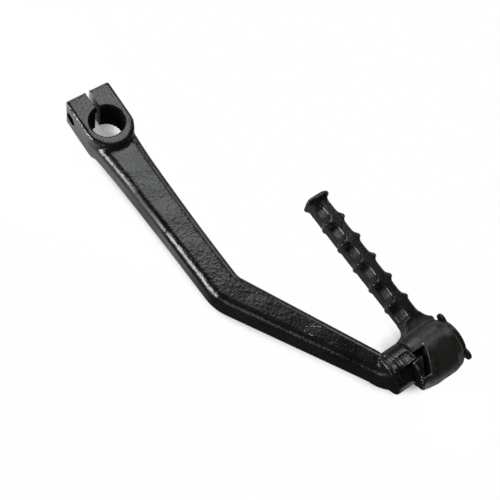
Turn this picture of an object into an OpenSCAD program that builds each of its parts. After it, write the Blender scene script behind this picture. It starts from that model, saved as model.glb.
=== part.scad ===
// Kick start lever: a clamp boss, a bent forged arm and a ribbed pedal that folds back beside the arm.
// The origin is the centre of the shaft bore. Z is the bore axis and points outwards from the engine.
// X points from the bore down the arm, in the plane of the clamp slot. Lengths are millimetres.

/* [Clamp boss] */
// Radius of the shaft bore, at the crests of its serrations
bore_r = 7.6; // [7.2:0.1:8]
// Depth of the serration grooves, outwards from the crests
serration_depth = 0.5; // [0.3:0.05:0.6]
// Number of serration grooves
serrations = 30; // [24:1:36]
// Chamfer at each mouth of the bore, past the groove bottoms
bore_chamfer = 0.3; // [0.1:0.1:0.6]
// Thickness of the boss along the bore
boss_t = 17; // [15:0.5:20]
// Radius of the round end of the boss, towards the arm
boss_r = 10.9; // [10.5:0.1:12]
// Distance from the bore axis to the centre of the round end
boss_shift = 2.25; // [1:0.25:3]
// Distance from the bore axis to the ends of the two ears
ear_reach = 17.3; // [16:0.1:19]
// Width of the clamp slot
slot_w = 2.2; // [1.8:0.1:3]
// Chamfer on the outer edges of the boss
boss_chamfer = 0.8; // [0.4:0.1:1.2]

/* [Pinch bolt hole] */
// Distance from the bore axis to the bolt axis
bolt_x = 12.6; // [12:0.1:13.4]
// Radius of the clearance hole in the near ear
bolt_clear_r = 3.1; // [2.9:0.05:3.3]
// Radius of the tapped hole in the far ear
bolt_tap_r = 2.5; // [2.2:0.05:2.8]

/* [Arm] */
// Width of the arm where it leaves the boss
arm_w_boss = 19.2; // [17:0.2:21]
// Extra width of the arm where it runs into the boss
boss_flare = 1.6; // [0:0.2:3]
// Width of the arm between the boss and the bend
arm_w_waist = 15; // [12:0.25:17]
// Width of the arm at the bend
arm_w_bend = 15.25; // [14:0.25:19]
// Width of the arm just before the knuckle
arm_w_end = 11.25; // [10:0.25:15]
// Thickness of the arm
arm_t = 13.75; // [11:0.25:15]
// Radius of the long edges of the arm
arm_edge_r = 3.8; // [2:0.1:4.5]
// Height of the middle of the arm above the middle of the boss
arm_z = -0.5; // [-1.5:0.25:1.5]
// Sideways place of the arm's middle at the boss
start_y = -1; // [-2:0.1:1]
// Distance from the bore to the waist, along X
waist_x = 46; // [40:1:55]
// Sideways place of the waist
waist_y = 0.6; // [-2:0.1:2]
// Distance from the bore to the bend, along X
bend_x = 92; // [80:1:105]
// Sideways place of the bend
bend_y = 3.1; // [0:0.1:5]
// Radius of the bend along the middle of the arm
bend_r = 14; // [12:1:22]
// Radius of the knuckle along the middle of the arm
knuckle_r = 10; // [9.5:0.5:13]

/* [Pivot] */
// Distance from the bore to the middle of the pedal's pivot, along X
pivot_x = 159.6; // [150:0.2:170]
// Distance from the bore to the middle of the pedal's pivot, along Y
pivot_y = 62.9; // [58:0.1:68]
// Turn of the pivot axis from Y, about Z
pivot_turn = 2; // [0:0.1:8]
// Distance from the knuckle to the pedal's centre line, along the pivot axis
pivot_run = 21; // [20:0.25:26]
// Distance of the pivot axis from the middle of the knuckle, away from the folded pedal
knuckle_shift = 2.7; // [2:0.1:3.2]
// Radius of the pivot pin
pin_r = 6.6; // [6.4:0.1:7]
// Radial clearance of the pin in the pedal hub
pin_gap = 0.05; // [0.02:0.01:0.09]
// Radius of the turned shoulder at the knuckle
shoulder_r = 11.1; // [10.5:0.1:11.6]
// Length of the turned shoulder
shoulder_len = 2.7; // [2:0.1:4]
// Radius of the half collar that stops the pedal
collar_r = 11.5; // [11:0.1:12]
// Length of the half collar
collar_len = 8.8; // [8:0.1:10]
// Angle of the collar's lower face, from the far side of the pivot towards +Z
collar_angle = 90; // [84:1:94]
// Depth of the small recess in the half collar
recess_depth = 0.6; // [0.3:0.1:1]
// Distance from the collar's end to the far end of the recess
recess_from = 6.6; // [5:0.1:7]
// Distance from the collar's end to the near end of the recess
recess_to = 1.2; // [1:0.1:2]
// Gap between faces that turn against each other
face_gap = 0.3; // [0.2:0.05:0.4]

/* [Pedal hub] */
// Radius of the hub at its middle
hub_r = 12.4; // [11.8:0.1:13]
// Radius of the hub at its ends
hub_end_r = 11.5; // [11:0.1:12]
// Distance from the pedal's centre line to the hub's inner face
hub_in = 11.1; // [10.5:0.1:12]
// Distance from the pedal's centre line to the hub's outer face
hub_out = 9.3; // [8.5:0.1:11]
// Length of the stop tooth beyond the hub's inner face
tooth_len = 3.2; // [2.6:0.1:3.8]
// Swing of the pedal from folded to open
swing = 90; // [85:1:92]
// Angle left free at each end of the swing
stop_gap = 1.5; // [1:0.25:3]
// Chamfer at the hub's outer end
hub_chamfer = 1; // [0.5:0.1:1.5]
// Direction that the relief slot behind the stop tooth is cut from
relief_angle = 75; // [70:1:80]
// Reach of the relief slot above that direction
relief_high = 5.6; // [4.5:0.1:6]
// Reach of the relief slot below that direction
relief_low = 5.5; // [4:0.1:6]
// Depth of the relief slot at its high end, from the hub's inner face
relief_deep = 5.6; // [4.6:0.1:6]
// Depth of the relief slot at its low end, from the hub's inner face
relief_shallow = 1.8; // [1.4:0.1:2.6]
// Thickness of the stop tooth at its tip, in front of the relief slot
tooth_tip_t = 5.4; // [4.8:0.1:5.8]
// Thickness of the stop tooth at the slot's low end
tooth_foot_t = 1.6; // [1.2:0.1:2.2]

/* [Pedal] */
// Distance from the pivot axis to the pedal's tip
pedal_len = 83.5; // [80:0.5:90]
// Height of the pedal's middle above the pivot axis
pedal_z = 1.25; // [-0.5:0.25:1.5]
// Sideways place of the pedal's middle, from the hub's centre line
pedal_shift = 0.8; // [-1:0.1:1.5]
// Width of the pedal at its ribs
rib_w = 11.3; // [10.5:0.1:12.5]
// Width of the core between the ribs
core_w = 9; // [8.2:0.1:9.6]
// Height of the core between the ribs
core_h = 9.4; // [8.6:0.1:9.8]
// Distance between ribs
rib_pitch = 11.2; // [10.8:0.1:11.6]
// Distance from the pivot axis to the first rib
rib_start = 25.5; // [24.5:0.1:27]
// Number of ribs, without the end flange
ribs = 5; // [3:1:5]
// Width of a rib at its crest
rib_crest = 1.3; // [0.9:0.1:2]
// Width of a rib at its root
rib_root = 3.2; // [2.4:0.1:5]
// Width of the end flange
flange_w = 12; // [11:0.1:13]
// Height of the end flange
flange_h = 10.4; // [9.5:0.1:11.5]
// Radius of the corners of the side pockets between ribs
pocket_r = 2.6; // [2:0.1:3.4]
// Radius of the web's fillet on the side towards the arm
web_near_r = 4; // [3:0.5:6]
// Radius of the web's fillet on the far side
web_far_r = 6.5; // [5:0.5:8]
// Depth of the side pockets at the pedal's outer face
pocket_depth = 1.1; // [0.8:0.1:1.6]
// Lean of the side pockets, deeper towards the outer face
pocket_lean = 6; // [3:0.5:10]

/* [Detent] */
// Radius of the detent ball
ball_r = 2.5; // [2.3:0.05:2.7]
// Radial clearance of the ball in its hole
ball_gap = 0.1; // [0.05:0.01:0.15]
// Radius of the two detent holes drilled in the hub
detent_r = 2.1; // [1.8:0.05:2.2]
// Place of the detent along the pivot axis, from the pedal's centre line
detent_v = -1; // [-2:0.25:0.5]
// Depth of the ball's hole past the pivot axis
ball_hole_past = 3.5; // [3:0.1:4]
// Wire radius of the detent spring
spring_wire_r = 0.35; // [0.25:0.05:0.4]
// Mean radius of the detent spring
spring_r = 1.5; // [1.3:0.05:1.6]
// Turns of the detent spring
spring_turns = 4; // [3:1:5]

/* [Washer and clip] */
// Radius of the thrust washer
washer_r = 10; // [9.5:0.1:10.6]
// Thickness of the thrust washer
washer_t = 1.2; // [1:0.1:1.6]
// Thickness of the retaining clip
clip_t = 1; // [0.8:0.1:1.2]
// Radius of the clip between its lobes
clip_r = 9; // [8.5:0.1:9.5]
// Reach of the clip's three lobes from the pivot axis
clip_reach = 12.4; // [11.5:0.1:13]
// Radius of each lobe's round end
clip_lobe_r = 2.6; // [2:0.1:3]
// Angle of the first lobe
clip_angle = 18; // [0:1:60]
// Angle from one lobe to the next
clip_spread = 132; // [115:1:135]
// Width of the gap in the clip
clip_split = 5; // [4:0.25:6]
// Depth of the clip's groove in the pin
groove_depth = 0.7; // [0.5:0.05:0.9]

/* [Hidden] */
black_paint = [0.05, 0.05, 0.055];
bare_steel = [0.55, 0.55, 0.57];
cut = 50;
fit_gap = 0.05;
pin_root_len = 3;
groove_share = 0.55;
round_fn = 96;
small_fn = 48;

function unit(a) = [cos(a), sin(a)];

// The arm's middle line: a shallow curve from the boss, the bend, and a straight run into the knuckle
bend = [bend_x, bend_y];
pivot_xy = [pivot_x, pivot_y];
pivot_angle = 90 + pivot_turn;
knuckle = pivot_xy - pivot_run * unit(pivot_angle) - knuckle_shift * unit(pivot_turn);
inner_angle = atan2(bend_y - waist_y, bend_x - waist_x);
outer_angle = atan2(knuckle[1] - bend_y, knuckle[0] - bend_x);
bend_turn = outer_angle - inner_angle;
knuckle_turn = pivot_angle - outer_angle;

// Places along the pivot axis, from the pedal's centre line
collar_end = -hub_in - face_gap;
collar_start = collar_end - collar_len;
shoulder_start = collar_start - shoulder_len;
tooth_start = -hub_in - tooth_len;
washer_start = hub_out + face_gap;
clip_start = washer_start + washer_t + fit_gap;
groove_end = clip_start + clip_t + fit_gap;
pin_end = groove_end + 1.5;
pin_root = collar_start - pin_root_len;

module at_pivot() {
    translate([pivot_xy[0], pivot_xy[1], 0]) rotate([0, 0, pivot_turn]) children();
}

// A flat shape drawn across the pivot axis, from place a to place b along it
module across(a, b) {
    translate([0, b, 0]) rotate([90, 0, 0]) linear_extrude(b - a) children();
}

// A turned shape about the pivot axis: radius first, place along the axis second
module turned(points) {
    rotate([-90, 0, 0]) rotate_extrude($fn = round_fn) polygon(points);
}

// A wedge about the pivot axis between two angles, measured from +X towards +Z
module wedge(from, to) {
    steps = ceil((to - from) / 15);
    polygon(concat([[0, 0]], [for (i = [0:steps]) cut * unit(from + (to - from) * i / steps)]));
}

module round_rect(w, h, r) {
    square([w - 2 * r, h], center = true);
    square([w, h - 2 * r], center = true);
    for (x = [-1, 1], y = [-1, 1]) translate([x * (w / 2 - r), y * (h / 2 - r)]) circle(r, $fn = 24);
}

// A rectangle with chamfered corners at its left end, and square ones inside the round end
module ear_plate(x0, x1, half_w, c) {
    polygon([[x0 + c, -half_w], [x1, -half_w], [x1, half_w], [x0 + c, half_w],
        [x0, half_w - c], [x0, -half_w + c]]);
}

module boss() {
    h = boss_t / 2;
    c = boss_chamfer;
    translate([boss_shift, 0, 0]) rotate_extrude($fn = round_fn)
        polygon([[0, -h], [boss_r - c, -h], [boss_r, -h + c], [boss_r, h - c], [boss_r - c, h], [0, h]]);
    intersection() {
        translate([0, 0, -h]) linear_extrude(boss_t) ear_plate(-ear_reach, boss_shift, boss_r, c);
        translate([0, boss_r, 0]) rotate([90, 0, 0]) linear_extrude(2 * boss_r)
            ear_plate(-ear_reach, boss_shift, h, c);
        rotate([90, 0, -90]) translate([0, 0, -boss_shift]) linear_extrude(ear_reach + boss_shift)
            polygon([[-boss_r + c, -h], [boss_r - c, -h], [boss_r, -h + c], [boss_r, h - c],
                [boss_r - c, h], [-boss_r + c, h], [-boss_r, h - c], [-boss_r, -h + c]]);
    }
}

module serrated_bore() {
    cylinder(r = bore_r, h = cut, center = true, $fn = round_fn);
    mouth = serration_depth + bore_chamfer;
    for (side = [0, 1]) mirror([0, 0, side]) translate([0, 0, boss_t / 2 - mouth])
        cylinder(r1 = bore_r, r2 = bore_r + 2 * mouth, h = 2 * mouth, $fn = round_fn);
    half_groove = 180 * groove_share / serrations;
    foot_r = bore_r - 0.2;
    for (i = [0:serrations - 1]) rotate([0, 0, 180 + (i + 0.5) * 360 / serrations])
        linear_extrude(cut, center = true)
            polygon([foot_r * unit(-half_groove), [bore_r + serration_depth, 0], foot_r * unit(half_groove)]);
}

module clamp_cuts() {
    serrated_bore();
    translate([-cut, -slot_w / 2, -cut / 2]) cube([cut, slot_w, cut]);
    translate([-bolt_x, 0, 0]) rotate([90, 0, 0]) cylinder(r = bolt_clear_r, h = cut, $fn = small_fn);
    translate([-bolt_x, 0, 0]) rotate([-90, 0, 0]) cylinder(r = bolt_tap_r, h = cut, $fn = small_fn);
}

// A station of the arm: place, direction, width, thickness, edge radius and height of its middle
inner_steps = 16;
flare_run = 24;
bend_steps = 8;
knuckle_steps = 10;
knuckle_w = 2 * (pin_r - fit_gap + knuckle_shift);
knuckle_h = 2 * shoulder_r - 0.8;
knuckle_edge_r = 8;

function curve(a, b, c, t) = (1 - t) * (1 - t) * a + 2 * t * (1 - t) * b + t * t * c;
function arc_place(corner, a0, turn, r, t) =
    corner - r * tan(turn / 2) * unit(a0) + r * unit(a0 + 90) + r * unit(a0 + turn * t - 90);

function flare(run) = pow(max(0, 1 - run / flare_run), 2);

start_point = [boss_shift, start_y];
waist_point = [waist_x, waist_y];
bend_start = arc_place(bend, inner_angle, bend_turn, bend_r, 0);
stations = concat(
    [for (i = [0:inner_steps - 1]) let (
            t = i / inner_steps,
            d = (1 - t) * (waist_point - start_point) + t * (bend_start - waist_point),
            place = curve(start_point, waist_point, bend_start, t))
        [place, atan2(d[1], d[0]),
            curve(arm_w_boss, arm_w_waist, arm_w_bend, t) + boss_flare * flare(norm(place - start_point)),
            arm_t, arm_edge_r, arm_z]],
    [for (i = [0:bend_steps]) let (t = i / bend_steps)
        [arc_place(bend, inner_angle, bend_turn, bend_r, t), inner_angle + bend_turn * t,
            arm_w_bend, arm_t, arm_edge_r, arm_z]],
    [for (i = [0:knuckle_steps]) let (t = i / knuckle_steps)
        [arc_place(knuckle, outer_angle, knuckle_turn, knuckle_r, t), outer_angle + knuckle_turn * t,
            arm_w_end + (knuckle_w - arm_w_end) * t, arm_t + (knuckle_h - arm_t) * t,
            arm_edge_r + (knuckle_edge_r - arm_edge_r) * t, arm_z * (1 - t)]]);

// One ring of the arm: a round-cornered rectangle square to the middle line
corner_steps = 6;
function ring(s) = [for (q = [0:3], i = [0:corner_steps]) let (
        a = 90 * (q + i / corner_steps),
        side = (q == 0 || q == 3) ? 1 : -1,
        top = (q < 2) ? 1 : -1,
        across_arm = side * (s[2] / 2 - s[4]) + s[4] * cos(a),
        p = s[0] + across_arm * unit(s[1] - 90))
    [p[0], p[1], s[5] + top * (s[3] / 2 - s[4]) + s[4] * sin(a)]];

module arm_loft() {
    rings = [for (s = stations) ring(s)];
    n = len(rings[0]);
    m = len(rings);
    sides = [for (j = [0:m - 2], i = [0:n - 1]) let (k = (i + 1) % n)
        [j * n + i, j * n + k, (j + 1) * n + k, (j + 1) * n + i]];
    near_end = [for (i = [n - 1:-1:0]) i];
    far_end = [for (i = [0:n - 1]) (m - 1) * n + i];
    polyhedron(points = [for (r = rings, p = r) p], faces = concat([near_end], sides, [far_end]), convexity = 4);
}

module pivot_stub() {
    groove_r = pin_r - groove_depth;
    groove_start = clip_start - fit_gap;
    turned([[0, pin_root], [pin_r, pin_root], [pin_r, groove_start], [groove_r, groove_start],
        [groove_r, groove_end], [pin_r, groove_end], [pin_r, pin_end - 0.5], [pin_r - 0.5, pin_end],
        [0, pin_end]]);
    intersection() {
        turned([[0, shoulder_start], [shoulder_r, shoulder_start], [shoulder_r, collar_start],
            [collar_r - 0.3, collar_start], [collar_r, collar_start + 0.3], [collar_r, collar_end],
            [0, collar_end]]);
        across(shoulder_start, collar_end) wedge(collar_angle, collar_angle + 180);
    }
}

module crank_arm() {
    color(black_paint) difference() {
        union() {
            boss();
            difference() {
                arm_loft();
                at_pivot() across(collar_start, cut) circle(cut / 2, $fn = small_fn);
            }
            at_pivot() pivot_stub();
        }
        clamp_cuts();
        at_pivot() across(collar_end - recess_from, collar_end - recess_to) difference() {
            wedge(collar_angle + 3, collar_angle + 26);
            circle(collar_r - recess_depth, $fn = round_fn);
        }
        at_pivot() translate([0, detent_v, ball_hole_past - cut])
            cylinder(r = ball_r + ball_gap, h = cut, $fn = small_fn);
    }
}

// The hub's barrel, with the stop tooth standing out of its inner face
module hub() {
    turned([[0, -hub_in], [hub_end_r, -hub_in], [hub_r, -hub_in / 2], [hub_r, hub_out / 2],
        [hub_end_r, hub_out - hub_chamfer], [hub_end_r - hub_chamfer, hub_out], [0, hub_out]]);
    intersection() {
        turned([[0, tooth_start], [hub_end_r - hub_chamfer, tooth_start], [hub_end_r, tooth_start + hub_chamfer],
            [hub_end_r, 0], [0, 0]]);
        across(tooth_start, 0) wedge(collar_angle - swing + stop_gap, collar_angle - stop_gap);
    }
}

// The slot that leans behind the stop tooth: place along the pivot axis first, height second
module relief_slot() {
    tip = hub_end_r * sin(collar_angle - stop_gap - relief_angle);
    rotate([0, -relief_angle, 0]) rotate([90, 0, 90]) linear_extrude(cut)
        polygon([[-hub_in - face_gap, relief_high], [-hub_in + relief_deep, relief_high],
            [-hub_in + relief_shallow, -relief_low], [tooth_start + tooth_foot_t, -relief_low],
            [tooth_start + tooth_tip_t, tip], [-hub_in - face_gap, tip]]);
}

module hub_cuts() {
    rotate([90, 0, 0]) cylinder(r = pin_r + pin_gap, h = cut, center = true, $fn = round_fn);
    relief_slot();
    translate([0, detent_v, -cut]) cylinder(r = detent_r, h = cut, $fn = small_fn);
    translate([0, detent_v, 0]) rotate([0, 90, 0]) cylinder(r = detent_r, h = cut, $fn = small_fn);
}

// A rib: a thin round-cornered plate whose two faces slope out to its root
module rib(w, h) {
    rotate([90, 0, 90]) hull() {
        linear_extrude(rib_crest, center = true) round_rect(w, h, 2.6);
        linear_extrude(rib_root, center = true) round_rect(core_w - 0.6, core_h - 1, 1.4);
    }
}

// One pair of side pockets between two ribs: a flat floor with round corners, leaning so that it is deeper on top
module pockets(bay_from, bay_to) {
    half = (bay_to - bay_from - rib_crest) / 2 - pocket_r;
    middle_depth = pocket_depth - core_h / 2 * tan(pocket_lean);
    for (side = [-1, 1]) translate([-(bay_from + bay_to) / 2, side * (core_w / 2 + pocket_r - middle_depth), 0])
        rotate([side * pocket_lean, 0, 0]) {
            for (x = [-half, half]) translate([x, 0, 0])
                cylinder(r = pocket_r, h = cut, center = true, $fn = small_fn);
            translate([0, 0, -cut / 2]) linear_extrude(cut)
                translate([-half, -pocket_r]) square([2 * half, 2 * pocket_r]);
        }
}

// The web that carries the pedal's bar into the hub, with a fillet on each side
module root_web() {
    root = hub_r - 2;
    near_at = hub_r + web_near_r;
    far_at = hub_r + 0.8 * web_far_r;
    difference() {
        translate([-far_at, -core_w / 2 - web_near_r, -core_h / 2])
            cube([far_at - root, core_w + web_near_r + web_far_r * 0.5, core_h]);
        translate([-near_at, -core_w / 2 - web_near_r, 0])
            cylinder(r = web_near_r, h = cut, center = true, $fn = round_fn);
        translate([-near_at - cut, -core_w / 2 - cut, -cut / 2]) cube([cut, cut, cut]);
        translate([-far_at, core_w / 2 + web_far_r, 0])
            cylinder(r = web_far_r, h = cut, center = true, $fn = round_fn);
    }
}

module pedal_bar() {
    flange_at = pedal_len - rib_crest / 2;
    rib_places = [for (i = [0:ribs - 1]) rib_start + i * rib_pitch];
    bays = concat(rib_places, [flange_at]);
    translate([0, pedal_shift, pedal_z]) {
        difference() {
            translate([-pedal_len, 0, 0]) rotate([90, 0, 90]) linear_extrude(pedal_len - hub_r)
                round_rect(core_w, core_h, 1.2);
            for (i = [0:ribs - 1]) pockets(bays[i], bays[i + 1]);
        }
        for (x = rib_places) translate([-x, 0, 0]) rib(rib_w, core_h);
        translate([-flange_at, 0, 0]) rib(flange_w, flange_h);
        root_web();
    }
}

module folding_pedal() {
    color(black_paint) at_pivot() difference() {
        union() {
            hub();
            pedal_bar();
        }
        hub_cuts();
    }
}

// The ball is drawn pressed in, with its crown just under the surface of the pin
ball_z = -(pin_r - fit_gap - ball_r);

module detent_ball() {
    color(bare_steel) at_pivot() translate([0, detent_v, ball_z]) sphere(ball_r, $fn = small_fn);
}

// The spring stands on the ball and bears on the bottom of the ball's hole
spring_reach = ball_r + spring_wire_r + fit_gap;
spring_low = ball_z + sqrt(spring_reach * spring_reach - spring_r * spring_r);
spring_high = ball_hole_past - spring_wire_r - fit_gap;
spring_rings = 14 * spring_turns;
wire_sides = 8;

function spring_point(i, j) = let (
        a = 360 * spring_turns * i / spring_rings,
        b = 360 * j / wire_sides,
        r = spring_r + spring_wire_r * cos(b))
    [r * cos(a), detent_v + r * sin(a), spring_low + (spring_high - spring_low) * i / spring_rings + spring_wire_r * sin(b)];

module detent_spring() {
    n = wire_sides;
    sides = [for (i = [0:spring_rings - 1], j = [0:n - 1]) let (k = (j + 1) % n)
        [i * n + j, i * n + k, (i + 1) * n + k, (i + 1) * n + j]];
    low_end = [for (j = [n - 1:-1:0]) j];
    high_end = [for (j = [0:n - 1]) spring_rings * n + j];
    color(bare_steel) at_pivot()
        polyhedron(points = [for (i = [0:spring_rings], j = [0:n - 1]) spring_point(i, j)],
            faces = concat([low_end], sides, [high_end]), convexity = 8);
}

module thrust_washer() {
    color(black_paint) at_pivot() difference() {
        across(washer_start, washer_start + washer_t) circle(washer_r, $fn = round_fn);
        across(washer_start - 1, washer_start + washer_t + 1) circle(pin_r + 3 * fit_gap, $fn = round_fn);
    }
}

module retaining_clip() {
    color(black_paint) at_pivot() difference() {
        across(clip_start, clip_start + clip_t) union() {
            circle(clip_r, $fn = round_fn);
            for (i = [0:2]) rotate([0, 0, clip_angle + clip_spread * i]) {
                translate([clip_reach - clip_lobe_r, 0]) circle(clip_lobe_r, $fn = small_fn);
                translate([0, -clip_lobe_r]) square([clip_reach - clip_lobe_r, 2 * clip_lobe_r]);
            }
        }
        across(clip_start - 1, clip_start + clip_t + 1) circle(pin_r - groove_depth + fit_gap, $fn = round_fn);
        across(clip_start - 1, clip_start + clip_t + 1) rotate([0, 0, clip_angle + clip_spread - 180])
            translate([0, -clip_split / 2]) square([clip_reach, clip_split]);
    }
}

crank_arm();
folding_pedal();
detent_ball();
detent_spring();
thrust_washer();
retaining_clip();
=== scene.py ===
import math

import bmesh
import bpy
from mathutils import Matrix, Vector


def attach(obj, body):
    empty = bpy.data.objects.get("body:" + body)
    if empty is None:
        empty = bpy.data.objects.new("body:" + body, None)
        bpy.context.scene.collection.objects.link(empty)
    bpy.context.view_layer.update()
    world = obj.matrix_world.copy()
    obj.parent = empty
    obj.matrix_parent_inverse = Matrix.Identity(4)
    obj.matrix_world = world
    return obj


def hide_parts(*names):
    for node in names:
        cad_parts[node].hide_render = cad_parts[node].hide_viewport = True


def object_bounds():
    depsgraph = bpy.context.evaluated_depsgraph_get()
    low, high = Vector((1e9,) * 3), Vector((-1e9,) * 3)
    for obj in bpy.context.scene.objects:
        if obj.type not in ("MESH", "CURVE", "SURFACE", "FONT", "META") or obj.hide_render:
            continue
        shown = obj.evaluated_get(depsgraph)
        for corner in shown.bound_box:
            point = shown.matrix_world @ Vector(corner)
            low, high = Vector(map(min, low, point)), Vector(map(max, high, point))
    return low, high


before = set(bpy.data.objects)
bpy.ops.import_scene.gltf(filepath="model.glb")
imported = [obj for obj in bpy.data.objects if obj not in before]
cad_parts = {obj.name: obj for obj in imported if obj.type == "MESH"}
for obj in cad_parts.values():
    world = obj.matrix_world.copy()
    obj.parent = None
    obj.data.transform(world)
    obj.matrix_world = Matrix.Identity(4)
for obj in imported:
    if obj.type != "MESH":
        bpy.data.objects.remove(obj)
cad_low, cad_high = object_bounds()

# Camera. It looks down on the lever as it lies flat, from the outer side and a little from the pedal's end,
# through a long lens held slightly askew.
view_azimuth = math.radians(40.692)
view_height = math.radians(64.714)
view_roll = math.radians(17.112)
aim = Vector((0.080647, 0.023088, -0.000572))
stand_off = 0.516262
picture_width = 500
pixels_to_lens = 1199
back = Vector((
    math.sin(view_azimuth) * math.cos(view_height),
    -math.cos(view_azimuth) * math.cos(view_height),
    math.sin(view_height)))
level = Vector((math.cos(view_azimuth), math.sin(view_azimuth), 0))
upward = back.cross(level)
picture_right = math.cos(view_roll) * level + math.sin(view_roll) * upward
picture_up = math.cos(view_roll) * upward - math.sin(view_roll) * level

camera = bpy.data.objects.new("camera", bpy.data.cameras.new("camera"))
bpy.context.scene.collection.objects.link(camera)
camera.data.sensor_width = 36
camera.data.lens = 36 * pixels_to_lens / picture_width
camera.data.clip_start = 0.01
camera.matrix_world = Matrix((picture_right, picture_up, back)).transposed().to_4x4()
camera.location = aim + back * stand_off
bpy.context.scene.camera = camera
bpy.context.scene.view_settings.view_transform = "Standard"


# Crank arm. One steel casting from the clamp boss to the knuckle, with its pivot pin turned on the end.
# It is blasted and powder coated black, so its corners are soft and its skin is pebbled. The serrated
# bore, the clamp slot and the pinch bolt's holes are machined after that, so their edges are crisp.
boss_half = 0.0085
bore_crest = 0.0076
bore_mouth = 0.0084
ear_end = -0.01729
slot_half = 0.0011
bolt_place = -0.0126
plug_extra = 0.0002


def merged_copy(node_name):
    shape = bmesh.new()
    shape.from_mesh(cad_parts[node_name].data)
    bmesh.ops.remove_doubles(shape, verts=shape.verts, dist=1e-6)
    return shape


def rod(shape, start, end, radius, sides=48):
    """A round rod from start to end, added to the shape."""
    run = end - start
    place = Matrix.Translation((start + end) / 2) @ run.to_track_quat("Z", "X").to_matrix().to_4x4()
    bmesh.ops.create_cone(shape, cap_ends=True, segments=sides, radius1=radius, radius2=radius,
                          depth=run.length, matrix=place)


def bar(shape, low, high):
    """A square bar between two corners, added to the shape."""
    place = Matrix.Translation((low + high) / 2) @ Matrix.Diagonal((*(high - low), 1))
    bmesh.ops.create_cube(shape, size=1, matrix=place)


# A raw casting has none of the machined holes, so they are plugged before its skin is made
top = Vector((0, 0, boss_half))
raw = merged_copy("crank_arm")
rod(raw, -top, top, bore_mouth + plug_extra, 96)
bar(raw, Vector((ear_end, -slot_half - plug_extra, -boss_half)),
    Vector((-bore_crest, slot_half + plug_extra, boss_half)))
for side in (-1, 1):
    rod(raw, Vector((bolt_place, side * 0.0008, 0)), Vector((bolt_place, side * 0.0109, 0)), 0.0033)


def link_mesh(shape, name):
    mesh = bpy.data.meshes.new(name)
    shape.to_mesh(mesh)
    shape.free()
    piece = bpy.data.objects.new(name, mesh)
    bpy.context.scene.collection.objects.link(piece)
    return piece


def bake(piece):
    """The piece with its modifiers applied."""
    bpy.context.view_layer.update()
    done = bpy.data.meshes.new_from_object(piece.evaluated_get(bpy.context.evaluated_depsgraph_get()))
    piece.modifiers.clear()
    piece.data = done


def cast_skin(shape, name, voxel, rounds):
    """The shape with a fine even mesh, its corners eased as a casting's are."""
    piece = link_mesh(shape, name)
    remesh = piece.modifiers.new("skin", "REMESH")
    remesh.mode = "VOXEL"
    remesh.voxel_size = voxel
    ease = piece.modifiers.new("ease", "SMOOTH")
    ease.factor = 0.5
    ease.iterations = rounds
    bake(piece)
    return piece


def soften(shape, verts, rounds):
    """Those places of the shape rubbed smoother, as with emery."""
    for _ in range(rounds):
        bmesh.ops.smooth_vert(shape, verts=verts, factor=0.5,
                              use_axis_x=True, use_axis_y=True, use_axis_z=True)


arm = cast_skin(raw, "crank_arm_casting", 0.00039, 4)

# The fillet where the boss's round end runs into the arm is worked softer than the rest
boss_centre = Vector((0.00225, 0))
boss_round = 0.0112
worked = bmesh.new()
worked.from_mesh(arm.data)
for reach, rounds in ((0.0030, 14), (0.0016, 10)):
    soften(worked, [vert for vert in worked.verts
                    if vert.co.x > 0.0055 and abs(vert.co.z) > 0.0045
                    and abs((vert.co.xy - boss_centre).length - boss_round) < reach], rounds)

# The near upper corner of the long run is dressed to a soft slope, mostly below the boss and above the bend
worked.normal_update()
for low, high, rounds in ((0.0125, 0.0960, 8), (0.0130, 0.0360, 90), (0.0570, 0.0930, 90)):
    soften(worked, [vert for vert in worked.verts
                    if low < vert.co.x < high and vert.co.z > 0.001
                    and 0.20 < vert.normal.z < 0.97 and vert.normal.y < -0.15], rounds)
worked.to_mesh(arm.data)
worked.free()

pivot = Vector((0.1596, 0.0629, 0))
pivot_turn = math.radians(2)
collar_radius = 0.0115


def at_pivot(angle, along, radius):
    """A place by its angle about the pivot, from the far side towards +Z, and by how far along the pin it is."""
    across = radius * math.cos(math.radians(angle))
    local = Vector((across, along, radius * math.sin(math.radians(angle))))
    return pivot + Matrix.Rotation(pivot_turn, 3, "Z") @ local


def distance_to_line(place, start, end):
    run = end - start
    share = max(0.0, min(1.0, (place - start).dot(run) / run.length_squared))
    return (place - start - run * share).length


def mark_wear(piece, lines):
    """Two attributes for the coat: how sharply the skin bulges, and how near it is to a chipped line."""
    sharpest_bulge = 0.00003
    shape = bmesh.new()
    shape.from_mesh(piece.data)
    shape.normal_update()
    edge = shape.verts.layers.float.new("edge")
    chip = shape.verts.layers.float.new("chip")
    for vert in shape.verts:
        around = [link.other_vert(vert).co for link in vert.link_edges]
        middle = sum(around, Vector()) / len(around)
        vert[edge] = max(0.0, min(1.0, (vert.co - middle).dot(vert.normal) / sharpest_bulge))
        for start, end, width in lines:
            near = 1 - distance_to_line(vert.co, start, end) / width
            if near > vert[chip]:
                vert[chip] = near
    shape.to_mesh(piece.data)
    shape.free()


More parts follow.
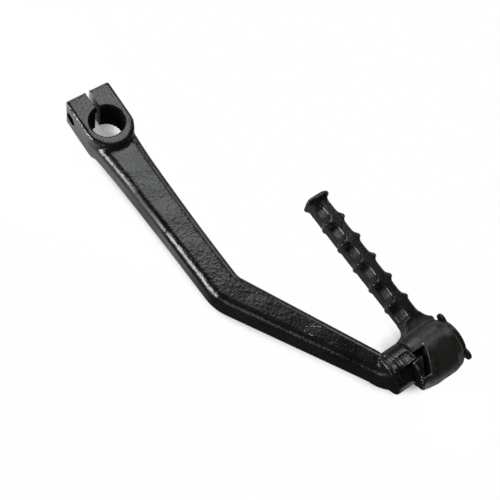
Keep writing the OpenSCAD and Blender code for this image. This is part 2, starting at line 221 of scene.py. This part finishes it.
# Each chipped line has two ends and a width. The boss's near edge and two knocks at its bore come first,
# then the knocks on the outer run, then the edges of the half collar at the pivot.
mark_wear(arm, (
    (Vector((-0.0160, -0.0107, 0.0079)), Vector((0.0046, -0.0107, 0.0079)), 0.00055),
    (Vector((-0.0072, -0.0024, 0.0086)), Vector((-0.0062, -0.0034, 0.0084)), 0.0006),
    (Vector((0.0008, 0.0084, 0.0086)), Vector((0.0012, 0.0083, 0.0084)), 0.0007),
    (Vector((0.1238, 0.0216, 0.0064)), Vector((0.1269, 0.0272, 0.0063)), 0.00045),
    (Vector((0.1273, 0.0208, 0.0064)), Vector((0.1282, 0.0214, 0.0064)), 0.0006),
    (Vector((0.1250, 0.0199, 0.0064)), Vector((0.1262, 0.0190, 0.0062)), 0.0004),
    (Vector((0.1267, 0.0182, 0.0059)), Vector((0.1271, 0.0180, 0.0058)), 0.00045),
    (at_pivot(91, -0.0202, collar_radius), at_pivot(91, -0.0116, collar_radius), 0.0004),
    (at_pivot(143, -0.0204, 0.0111), at_pivot(88, -0.0232, 0.0111), 0.0006),
    (at_pivot(119, -0.0176, collar_radius), at_pivot(96, -0.0181, collar_radius), 0.00055),
))


def new_material(name):
    material = bpy.data.materials.new(name)
    material.use_nodes = True
    return material, material.node_tree.nodes, material.node_tree.links


def grain(nodes, links, coordinates, size, detail, roughness=0.55):
    noise = nodes.new("ShaderNodeTexNoise")
    noise.inputs["Scale"].default_value = 1 / size
    noise.inputs["Detail"].default_value = detail
    noise.inputs["Roughness"].default_value = roughness
    links.new(coordinates.outputs["Object"], noise.inputs["Vector"])
    return noise.outputs["Fac"]


def bump(nodes, links, height, depth, under=None):
    relief = nodes.new("ShaderNodeBump")
    relief.inputs["Distance"].default_value = depth
    relief.inputs["Strength"].default_value = 1
    links.new(height, relief.inputs["Height"])
    if under:
        links.new(under, relief.inputs["Normal"])
    return relief.outputs["Normal"]


def math_node(nodes, links, operation, first, second):
    """A Math node; each input is a socket or a number."""
    node = nodes.new("ShaderNodeMath")
    node.operation = operation
    for socket, value in zip(node.inputs, (first, second)):
        if isinstance(value, (int, float)):
            socket.default_value = value
        else:
            links.new(value, socket)
    return node.outputs["Value"]


def stretch(nodes, links, value, low, high, to_low=0.0, to_high=1.0):
    reach = nodes.new("ShaderNodeMapRange")
    reach.inputs["From Min"].default_value = low
    reach.inputs["From Max"].default_value = high
    reach.inputs["To Min"].default_value = to_low
    reach.inputs["To Max"].default_value = to_high
    links.new(value, reach.inputs["Value"])
    return reach.outputs["Result"]


def tones(nodes, links, value, dark, light, low=0.0, high=1.0):
    """A colour that runs from dark to light as the value goes from low to high."""
    ramp = nodes.new("ShaderNodeValToRGB")
    for stop, place, colour in zip(ramp.color_ramp.elements, (low, high), (dark, light)):
        stop.position = place
        stop.color = (*colour, 1)
    links.new(value, ramp.inputs["Fac"])
    return ramp.outputs["Color"]


def laid_over(nodes, links, share, under, colour):
    """The colour laid over what is under it, as far as the share says."""
    layer = nodes.new("ShaderNodeMix")
    layer.data_type = "RGBA"
    layer.inputs["B"].default_value = (*colour, 1)
    links.new(share, layer.inputs["Factor"])
    links.new(under, layer.inputs["A"])
    return layer.outputs["Result"]


def black_coat(name, pebble_size, pebble_depth, gloss, dark, light, chip_colour):
    """Black powder coat over a cast skin, rubbed grey on its edges and chipped bare on the marked lines."""
    material, nodes, links = new_material(name)
    coat = nodes["Principled BSDF"]
    coat.inputs["Specular IOR Level"].default_value = 0.7
    coordinates = nodes.new("ShaderNodeTexCoord")
    waves = grain(nodes, links, coordinates, 0.016, 1)
    pebbles = grain(nodes, links, coordinates, pebble_size, 1)
    fine = grain(nodes, links, coordinates, pebble_size / 4, 2)
    skin = bump(nodes, links, waves, 0.0005)
    skin = bump(nodes, links, pebbles, pebble_depth, skin)
    skin = bump(nodes, links, fine, pebble_depth / 5, skin)
    links.new(skin, coat.inputs["Normal"])

    patches = grain(nodes, links, coordinates, 0.012, 5, 0.65)
    colour = tones(nodes, links, patches, dark, light, 0.36, 0.68)
    edge = nodes.new("ShaderNodeAttribute")
    edge.attribute_name = "edge"
    rubbed = math_node(nodes, links, "MULTIPLY", edge.outputs["Fac"],
                       stretch(nodes, links, pebbles, 0.35, 0.7))
    colour = laid_over(nodes, links, rubbed, colour, (0.012, 0.0125, 0.013))

    chip = nodes.new("ShaderNodeAttribute")
    chip.attribute_name = "chip"
    flakes = grain(nodes, links, coordinates, 0.0007, 2)
    ragged = math_node(nodes, links, "ADD", chip.outputs["Fac"],
                       stretch(nodes, links, flakes, 0.35, 0.65, -0.6, 0.3))
    bare = stretch(nodes, links, ragged, 0.52, 0.75)
    links.new(laid_over(nodes, links, bare, colour, chip_colour), coat.inputs["Base Color"])
    links.new(stretch(nodes, links, bare, 0, 1, 0, 0.6), coat.inputs["Metallic"])
    links.new(stretch(nodes, links, patches, 0.3, 0.7, gloss - 0.04, gloss + 0.04), coat.inputs["Roughness"])
    return material


arm.data.materials.clear()
arm.data.materials.append(black_coat(
    "black_powder_coat_cast", pebble_size=0.0014, pebble_depth=0.00013, gloss=0.23,
    dark=(0.0022, 0.0022, 0.0023), light=(0.0060, 0.0061, 0.0063), chip_colour=(0.62, 0.62, 0.60)))

# Between the two dressed stretches of its near corner the arm's coat has gone dull
nodes, links = arm.data.materials[0].node_tree.nodes, arm.data.materials[0].node_tree.links
coat = nodes["Principled BSDF"]
coordinates = nodes.new("ShaderNodeTexCoord")
along_arm = nodes.new("ShaderNodeSeparateXYZ")
links.new(coordinates.outputs["Object"], along_arm.inputs["Vector"])
surface = nodes.new("ShaderNodeNewGeometry")
facing = nodes.new("ShaderNodeSeparateXYZ")
links.new(surface.outputs["Normal"], facing.inputs["Vector"])
dull = math_node(nodes, links, "MULTIPLY",
                 stretch(nodes, links, along_arm.outputs["X"], 0.026, 0.038, 0, 0.24),
                 stretch(nodes, links, along_arm.outputs["X"], 0.046, 0.062, 1, 0))
dull = math_node(nodes, links, "MULTIPLY", dull,
                 stretch(nodes, links, facing.outputs["Z"], 0.80, 0.93, 1, 0))
links.new(math_node(nodes, links, "ADD", coat.inputs["Roughness"].links[0].from_socket, dull),
          coat.inputs["Roughness"])

# The bore is broached, with straight serrations, and is coloured nearly black with hardly any gloss
dark_bore, nodes, links = new_material("near_black_bore_steel")
steel = nodes["Principled BSDF"]
steel.inputs["Roughness"].default_value = 0.8
steel.inputs["Specular IOR Level"].default_value = 0.05
film = grain(nodes, links, nodes.new("ShaderNodeTexCoord"), 0.0018, 3)
links.new(tones(nodes, links, film, (0.002, 0.002, 0.002), (0.010, 0.010, 0.009), 0.4, 0.8),
          steel.inputs["Base Color"])
links.new(bump(nodes, links, film, 0.00005), steel.inputs["Normal"])


def cut_away(piece, cutter):
    cut = piece.modifiers.new("cut", "BOOLEAN")
    cut.operation = "DIFFERENCE"
    cut.solver = "EXACT"
    cut.material_mode = "TRANSFER"
    cut.object = cutter
    bake(piece)
    bpy.data.objects.remove(cutter)


bore_root = 0.0081
serrations = 30
points_each = 6
cut_past = 0.002
broach = bmesh.new()
bmesh.ops.create_circle(broach, cap_ends=False, segments=serrations * points_each, radius=bore_crest)
for index, vert in enumerate(sorted(broach.verts, key=lambda v: math.atan2(v.co.y, v.co.x))):
    if index % points_each == 3:
        vert.co *= bore_root / bore_crest
for vert in broach.verts:
    vert.co.z = -boss_half - cut_past
wall = bmesh.ops.extrude_edge_only(broach, edges=broach.edges[:])["geom"]
bmesh.ops.translate(broach, verts=[item for item in wall if isinstance(item, bmesh.types.BMVert)],
                    vec=(0, 0, 2 * (boss_half + cut_past)))
bmesh.ops.holes_fill(broach, edges=[edge for edge in broach.edges if edge.is_boundary])
bmesh.ops.recalc_face_normals(broach, faces=broach.faces)
bore_cutter = link_mesh(broach, "bore_cutter")
bore_cutter.data.materials.append(dark_bore)
cut_away(arm, bore_cutter)

mouth_depth = bore_mouth - bore_crest
for side in (1, -1):
    mouth = bmesh.new()
    bmesh.ops.create_cone(mouth, cap_ends=True, segments=96, radius1=bore_crest,
                          radius2=bore_crest + 2 * mouth_depth, depth=2 * mouth_depth,
                          matrix=Matrix.Translation((0, 0, boss_half)))
    if side < 0:
        bmesh.ops.rotate(mouth, verts=mouth.verts, matrix=Matrix.Rotation(math.pi, 3, "X"))
    mouth_cutter = link_mesh(mouth, "mouth_cutter")
    mouth_cutter.data.materials.append(dark_bore)
    cut_away(arm, mouth_cutter)

# The slot is sawn bare steel, bright at the open ear end; its colour is painted dark towards the bore, a painted
# shadow deep in the slot
sawn, nodes, links = new_material("sawn_slot_steel")
steel = nodes["Principled BSDF"]
steel.inputs["Metallic"].default_value = 1
steel.inputs["Roughness"].default_value = 0.45
coordinates = nodes.new("ShaderNodeTexCoord")
strokes = nodes.new("ShaderNodeMapping")
strokes.inputs["Scale"].default_value = (0.2, 1, 1)
links.new(coordinates.outputs["Object"], strokes.inputs["Vector"])
teeth = nodes.new("ShaderNodeTexNoise")
teeth.inputs["Scale"].default_value = 3000
links.new(strokes.outputs["Vector"], teeth.inputs["Vector"])
along_slot = nodes.new("ShaderNodeSeparateXYZ")
links.new(coordinates.outputs["Object"], along_slot.inputs["Vector"])
# Painted shadow: the sawn steel's colour darkens towards the bore
links.new(laid_over(nodes, links, stretch(nodes, links, along_slot.outputs["X"], -0.0145, -0.0095),
                    tones(nodes, links, teeth.outputs["Fac"], (0.40, 0.40, 0.39), (0.66, 0.66, 0.64)),
                    (0.02, 0.02, 0.02)), steel.inputs["Base Color"])
links.new(bump(nodes, links, teeth.outputs["Fac"], 0.00003), steel.inputs["Normal"])

saw = bmesh.new()
bar(saw, Vector((ear_end - cut_past, -slot_half, -boss_half - cut_past)),
    Vector((-0.004, slot_half, boss_half + cut_past)))
slot_cutter = link_mesh(saw, "slot_cutter")
slot_cutter.data.materials.append(sawn)
cut_away(arm, slot_cutter)

# The pinch bolt's hole is clear in the near ear and of tapping size in the far one
for side, radius in ((-1, 0.0031), (1, 0.0025)):
    drill = bmesh.new()
    rod(drill, Vector((bolt_place, 0, 0)), Vector((bolt_place, side * 0.013, 0)), radius)
    cut_away(arm, link_mesh(drill, "bolt_cutter"))

for face in arm.data.polygons:
    face.use_smooth = True
arm.data.set_sharp_from_angle(angle=math.radians(38))
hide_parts("crank_arm")
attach(arm, "arm")


# Folding pedal. One casting: the hub that turns on the pin, and the ribbed bar for the foot. Its black
# powder coat is smoother than the arm's, scuffed on the hub and chipped along the stop tooth.
pedal = cast_skin(merged_copy("folding_pedal"), "folding_pedal_casting", 0.00032, 3)
first_rib = 0.0255
rib_pitch = 0.0112
last_bay_end = 0.0828
pedal_middle = Vector((0, 0.0008, 0.00125))
pedal_half = 0.0047
to_pedal = Matrix.Rotation(-pivot_turn, 3, "Z")
from_pedal = to_pedal.transposed()

# Each bay between two ribs is hollowed: its walls lean back towards the top, and a slanting bite is taken
# out of its near upper corner. The far corner and the ends of the ribs are eased.
lean = 0.0004
bite = Vector((0, -0.85, 0.527))
uncut_corner = 0.0065
bite_depth = 0.0033
sculpt = bmesh.new()
sculpt.from_mesh(pedal.data)
near_corner, far_corner, rib_ends = [], [], []
for vert in sculpt.verts:
    place = to_pedal @ (vert.co - pivot) - pedal_middle
    along = -place.x
    if not first_rib - 0.009 < along < last_bay_end:
        continue
    bay_from = first_rib + math.floor((along - first_rib) / rib_pitch) * rib_pitch
    across_bay = 2 * (along - bay_from) / rib_pitch - 1
    hollow = max(0.0, 1 - abs(across_bay) ** 2.4)
    height = max(0.0, min(1.0, (place.z + pedal_half) / (2 * pedal_half)))
    reach = min(1.0, max(0.0, (abs(place.y) - 0.0004) / 0.0030))
    most = lean if place.y < 0 else -0.45 * lean
    shift = Vector((0, most * hollow * height ** 1.3 * reach, 0))
    vert.co += from_pedal @ shift
    if abs(across_bay) < 0.9 and place.y < -0.0006 and place.z > -0.0005:
        proud = bite.dot(place + shift) - uncut_corner + bite_depth * (1 - across_bay ** 4)
        vert.co -= from_pedal @ (bite * max(0.0, proud))
        near_corner.append(vert)
    if abs(across_bay) < 0.78 and place.y > 0.0027 and place.z > 0.0030:
        far_corner.append(vert)
    if abs(across_bay) > 0.6 and place.y < -0.0016 and along > first_rib - 0.003:
        rib_ends.append(vert)
for verts, rounds in ((near_corner, 10), (far_corner, 24), (rib_ends, 12)):
    soften(sculpt, verts, rounds)

# The bar flares gently into the flange at its end
soften(sculpt, [vert for vert in sculpt.verts
                if 0.0775 < -(to_pedal @ (vert.co - pivot)).x < 0.0822 and vert.co.z > 0.0040], 26)

# The hub's inner face and its stop tooth are eased by a tenth of a millimetre, to clear the coat on the arm
inner_side = -0.0098
ease_depth = 0.0001
sculpt.normal_update()
for vert in sculpt.verts:
    past = inner_side - (to_pedal @ (vert.co - pivot)).y
    vert.co -= vert.normal * ease_depth * max(0.0, min(1.0, past / 0.0010))
sculpt.to_mesh(pedal.data)
sculpt.free()

# The chips are along the stop tooth's tip, at the foot of the relief slot, and two specks on the hub
mark_wear(pedal, (
    (at_pivot(50, -0.0142, collar_radius), at_pivot(24, -0.0142, collar_radius), 0.0013),
    (at_pivot(46, -0.0126, 0.0118), at_pivot(45, -0.0092, 0.0121), 0.0011),
    (at_pivot(40, -0.0122, 0.0118), at_pivot(33, -0.0112, 0.0118), 0.0006),
    (Vector((0.1541, 0.0634, 0.0112)), Vector((0.1545, 0.0637, 0.0112)), 0.0010),
    (Vector((0.1563, 0.0572, 0.0119)), Vector((0.1564, 0.0574, 0.0119)), 0.0008),
))
pedal.data.materials.clear()
pedal.data.materials.append(black_coat(
    "black_powder_coat_smooth", pebble_size=0.0016, pebble_depth=0.00004, gloss=0.24,
    dark=(0.0020, 0.0020, 0.0021), light=(0.0052, 0.0053, 0.0054), chip_colour=(0.70, 0.64, 0.60)))

# On the hub the coat is scuffed dull and grey, round a patch that stays smooth; that patch is painted a
# lighter greenish grey, a painted sheen on the hub's top.
nodes, links = pedal.data.materials[0].node_tree.nodes, pedal.data.materials[0].node_tree.links
coat = nodes["Principled BSDF"]
coordinates = nodes.new("ShaderNodeTexCoord")
blotches = grain(nodes, links, coordinates, 0.0022, 4)


def near_place(place, inner, outer):
    """1 within the inner distance of a place, 0 beyond the outer one, with a ragged border."""
    gap = nodes.new("ShaderNodeVectorMath")
    gap.operation = "DISTANCE"
    gap.inputs[1].default_value = place
    links.new(coordinates.outputs["Object"], gap.inputs[0])
    ragged = math_node(nodes, links, "ADD", gap.outputs["Value"],
                       stretch(nodes, links, blotches, 0.3, 0.7, -0.0012, 0.0012))
    return stretch(nodes, links, ragged, inner, outer, 1, 0)


on_hub = near_place(pivot, 0.0150, 0.0165)
in_patch = near_place(Vector((0.1655, 0.0648, 0.0103)), 0.0058, 0.0078)
scuffed = math_node(nodes, links, "MULTIPLY", on_hub, math_node(nodes, links, "SUBTRACT", 1.0, in_patch))
greyed = math_node(nodes, links, "MULTIPLY", scuffed, stretch(nodes, links, blotches, 0.30, 0.60))
# Painted sheen: the smooth patch is painted lighter, for the light on the hub's top
painted_sheen_patch = math_node(nodes, links, "MULTIPLY", on_hub, math_node(nodes, links, "MULTIPLY", in_patch, 0.8))
links.new(laid_over(nodes, links, math_node(nodes, links, "MAXIMUM", greyed, painted_sheen_patch),
                    coat.inputs["Base Color"].links[0].from_socket, (0.0160, 0.0163, 0.0125)),
          coat.inputs["Base Color"])
links.new(math_node(nodes, links, "ADD", coat.inputs["Roughness"].links[0].from_socket,
                    math_node(nodes, links, "MULTIPLY", scuffed, 0.14)), coat.inputs["Roughness"])
for face in pedal.data.polygons:
    face.use_smooth = True
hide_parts("folding_pedal")
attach(pedal, "pedal")


# Detent ball and spring. A hardened steel ball and a coil of spring wire behind it, bare and bright, loose
# in the blind hole that is drilled across the pin.
def bare_steel(name, roughness):
    material, nodes, links = new_material(name)
    steel = nodes["Principled BSDF"]
    steel.inputs["Metallic"].default_value = 1
    steel.inputs["Roughness"].default_value = roughness
    polish = grain(nodes, links, nodes.new("ShaderNodeTexCoord"), 0.0004, 3)
    links.new(tones(nodes, links, polish, (0.30, 0.30, 0.30), (0.55, 0.55, 0.54)), steel.inputs["Base Color"])
    links.new(bump(nodes, links, polish, 0.000005), steel.inputs["Normal"])
    return material


for node_name, roughness in (("detent_ball", 0.15), ("detent_spring", 0.3)):
    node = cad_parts[node_name]
    node.data.materials.clear()
    node.data.materials.append(bare_steel(node_name + "_steel", roughness))


# Thrust washer and retaining clip. Both are stamped from spring steel and blackened in oil, which leaves a
# faint mottle. The washer is loose on the pin, and the clip is snapped into the pin's groove.
def blackened_steel(name, roughness):
    material, nodes, links = new_material(name)
    steel = nodes["Principled BSDF"]
    steel.inputs["Roughness"].default_value = roughness
    mottle = grain(nodes, links, nodes.new("ShaderNodeTexCoord"), 0.0012, 4)
    links.new(tones(nodes, links, mottle, (0.006, 0.006, 0.0065), (0.020, 0.020, 0.021), 0.35, 0.75),
              steel.inputs["Base Color"])
    links.new(bump(nodes, links, mottle, 0.00001), steel.inputs["Normal"])
    return material


for node_name, roughness in (("thrust_washer", 0.3), ("retaining_clip", 0.34)):
    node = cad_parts[node_name]
    node.data.materials.clear()
    node.data.materials.append(blackened_steel(node_name + "_black", roughness))


# Floor. A sheet of white paper, blown out to plain white in the picture. For the light that it gives back
# to the lever its colour is painted light and shade: bright on the left and behind, where the soft boxes
# stand, dim in front, and a painted pool of light beside the hub.
sheet = bmesh.new()
bmesh.ops.create_grid(sheet, x_segments=1, y_segments=1, size=3,
                      matrix=Matrix.Translation((0.08, 0.03, cad_low.z - 0.0002)))
floor = link_mesh(sheet, "floor")
paper, nodes, links = new_material("white_paper")
nodes.remove(nodes["Principled BSDF"])
place = nodes.new("ShaderNodeTexCoord")
forward = nodes.new("ShaderNodeVectorMath")
forward.operation = "DOT_PRODUCT"
forward.inputs[1].default_value = (0.6, -0.8, 0)
links.new(place.outputs["Object"], forward.inputs[0])
axes = nodes.new("ShaderNodeSeparateXYZ")
links.new(place.outputs["Object"], axes.inputs["Vector"])
beside_hub = nodes.new("ShaderNodeVectorMath")
beside_hub.operation = "DISTANCE"
beside_hub.inputs[1].default_value = (0.188, 0.060, cad_low.z)
links.new(place.outputs["Object"], beside_hub.inputs[0])
# The paper's colour is painted light and shade, with a painted pool of light beside the hub
shade = math_node(nodes, links, "MULTIPLY",
                  stretch(nodes, links, forward.outputs["Value"], 0.044, 0.062, 0.64, 0.03),
                  stretch(nodes, links, axes.outputs["Y"], 0.005, 0.030, 1.0, 0.5))
shade = math_node(nodes, links, "MAXIMUM", shade,
                  stretch(nodes, links, beside_hub.outputs["Value"], 0.010, 0.024, 0.7, 0.0))
lit = nodes.new("ShaderNodeBsdfDiffuse")
links.new(shade, lit.inputs["Color"])

# In the picture the paper is grey only where the lever shelters it closely, as it does below the bore:
# a painted shadow, which an occlusion test sets in the glow's strength.
shelter = nodes.new("ShaderNodeAmbientOcclusion")
shelter.samples = 16
shelter.inputs["Distance"].default_value = 0.018
blown_out = nodes.new("ShaderNodeEmission")
blown_out.inputs["Color"].default_value = (1, 1, 1, 1)
links.new(math_node(nodes, links, "MAXIMUM",
                    stretch(nodes, links, shelter.outputs["AO"], 0.08, 0.40, 0.05, 0.42),
                    stretch(nodes, links, shelter.outputs["AO"], 0.37, 0.45)), blown_out.inputs["Strength"])


def mirrored_rays(nodes, links, ray):
    """1 for what shows in a polished or a clear surface."""
    return math_node(nodes, links, "MAXIMUM", ray.outputs["Is Glossy Ray"], ray.outputs["Is Transmission Ray"])


def mixed(nodes, links, share, first, second):
    mix = nodes.new("ShaderNodeMixShader")
    links.new(share, mix.inputs["Fac"])
    links.new(first, mix.inputs[1])
    links.new(second, mix.inputs[2])
    return mix.outputs["Shader"]


ray = nodes.new("ShaderNodeLightPath")
share = math_node(nodes, links, "MAXIMUM",
                  math_node(nodes, links, "MULTIPLY", ray.outputs["Is Camera Ray"], 0.992),
                  math_node(nodes, links, "MULTIPLY", mirrored_rays(nodes, links, ray), 0.02))
upper_side = mixed(nodes, links, share, lit.outputs["BSDF"], blown_out.outputs["Emission"])

# From below the paper is clear, so that the lever's underside can be looked at
under_side = nodes.new("ShaderNodeBsdfTransparent")
links.new(mixed(nodes, links, nodes.new("ShaderNodeNewGeometry").outputs["Backfacing"],
                upper_side, under_side.outputs["BSDF"]), nodes["Material Output"].inputs["Surface"])
floor.data.materials.append(paper)


# Studio. A pale room that is plain white in the picture and nearly dark in the coat's gloss, with a strong
# soft box on the left, a weaker one above, and three strips that line the edges.
world = bpy.data.worlds.new("studio")
bpy.context.scene.world = world
world.use_nodes = True
nodes, links = world.node_tree.nodes, world.node_tree.links
room = nodes["Background"]
room.inputs["Color"].default_value = (0.78, 0.78, 0.79, 1)
room.inputs["Strength"].default_value = 1.0
in_gloss = nodes.new("ShaderNodeBackground")
in_gloss.inputs["Color"].default_value = (1, 1, 1, 1)
in_gloss.inputs["Strength"].default_value = 0.02
in_picture = nodes.new("ShaderNodeBackground")
in_picture.inputs["Color"].default_value = (1, 1, 1, 1)
ray = nodes.new("ShaderNodeLightPath")
around = mixed(nodes, links, mirrored_rays(nodes, links, ray),
               room.outputs["Background"], in_gloss.outputs["Background"])
links.new(mixed(nodes, links, ray.outputs["Is Camera Ray"], around, in_picture.outputs["Background"]),
          nodes["World Output"].inputs["Surface"])


def soft_box(name, towards, width, height, power):
    """An area lamp a metre away in that direction, which faces the middle of the lever."""
    lamp = bpy.data.lights.new(name, "AREA")
    lamp.shape = "RECTANGLE"
    lamp.size = width
    lamp.size_y = height
    lamp.energy = power
    lamp.color = (0.96, 0.98, 1)
    holder = bpy.data.objects.new(name, lamp)
    bpy.context.scene.collection.objects.link(holder)
    direction = Vector(towards).normalized()
    holder.location = aim + direction
    holder.rotation_mode = "QUATERNION"
    holder.rotation_quaternion = direction.to_track_quat("Z", "Y")


soft_box("left_soft_box", (-0.25, -0.93, 0.30), 0.32, 0.46, 6.0)
soft_box("front_strip", (0.36, -0.79, 0.50), 0.24, 0.40, 0.6)
soft_box("top_soft_box", (-0.46, 0.27, 0.85), 0.34, 0.34, 1.15)
soft_box("back_strip", (-0.33, 0.82, 0.46), 0.28, 0.46, 0.8)
soft_box("far_left_strip", (-0.90, 0.13, 0.42), 0.60, 0.34, 1.9)
